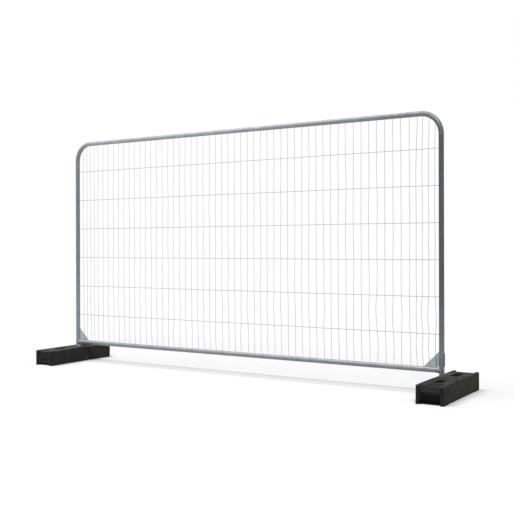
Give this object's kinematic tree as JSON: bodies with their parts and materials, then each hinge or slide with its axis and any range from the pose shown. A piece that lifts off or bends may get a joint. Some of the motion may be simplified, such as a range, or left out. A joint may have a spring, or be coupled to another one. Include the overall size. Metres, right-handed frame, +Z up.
{
  "type": "mesh barrier panel",
  "caption": "Tall free-standing barrier panel: a round-cornered tube frame filled with welded wire mesh, its posts standing in black block feet.",
  "frame": {"origin": "on the ground, under the middle of the panel", "axes": "+X along the panel to the right foot, seen from the front, where the upright wires lie; +Y through the panel to its back; +Z up"},
  "size_m": [3.762, 0.76, 2],
  "materials": {
    "tube_zinc": "hot-dip galvanised, dull",
    "wire_zinc": "galvanised wire, slightly brighter",
    "foot": "moulded black, matt",
    "plug": "moulded black, matt"
  },
  "bodies": {
    "left_foot": {"foot_left": "foot"},
    "left_plug": {"post_plug_left": "plug"},
    "panel": {"top_bow": "tube_zinc", "upright_left": "tube_zinc", "upright_right": "tube_zinc", "bottom_rail": "tube_zinc", "gusset_left": "tube_zinc", "gusset_right": "tube_zinc", "horizontal_wire_1": "wire_zinc", "horizontal_wire_2": "wire_zinc", "horizontal_wire_3": "wire_zinc", "horizontal_wire_4": "wire_zinc", "horizontal_wire_5": "wire_zinc", "horizontal_wire_6": "wire_zinc", "edge_wires_left": "wire_zinc", "edge_wires_right": "wire_zinc", "vertical_wires_1": "wire_zinc", "vertical_wires_2": "wire_zinc", "vertical_wires_3": "wire_zinc", "vertical_wires_4": "wire_zinc", "vertical_wires_5": "wire_zinc", "vertical_wires_6": "wire_zinc", "vertical_wires_7": "wire_zinc"},
    "right_plug": {"post_plug_right": "plug"},
    "right_foot": {"foot_right": "foot"}
  },
  "joints": [
    {"name": "panel_lift", "type": "slide", "parent": "left_foot", "child": "left_plug", "axis": [0, 0, 1], "range_m": [0, 0.15]},
    {"name": "left_foot_turn", "type": "hinge", "parent": "left_plug", "child": "panel", "pos_m": [-1.731, 0, 0.018], "axis": [0, 0, 1], "continuous": true},
    {"name": "right_foot_turn", "type": "hinge", "parent": "panel", "child": "right_plug", "pos_m": [1.731, 0, 0.018], "axis": [0, 0, 1], "continuous": true},
    {"name": "right_foot_drop", "type": "slide", "parent": "right_plug", "child": "right_foot", "axis": [0, 0, -1], "range_m": [0, 0.15]}
  ],
  "couplings": [
    {"joint": "right_foot_drop", "follows": "panel_lift", "ratio": 1}
  ]
}
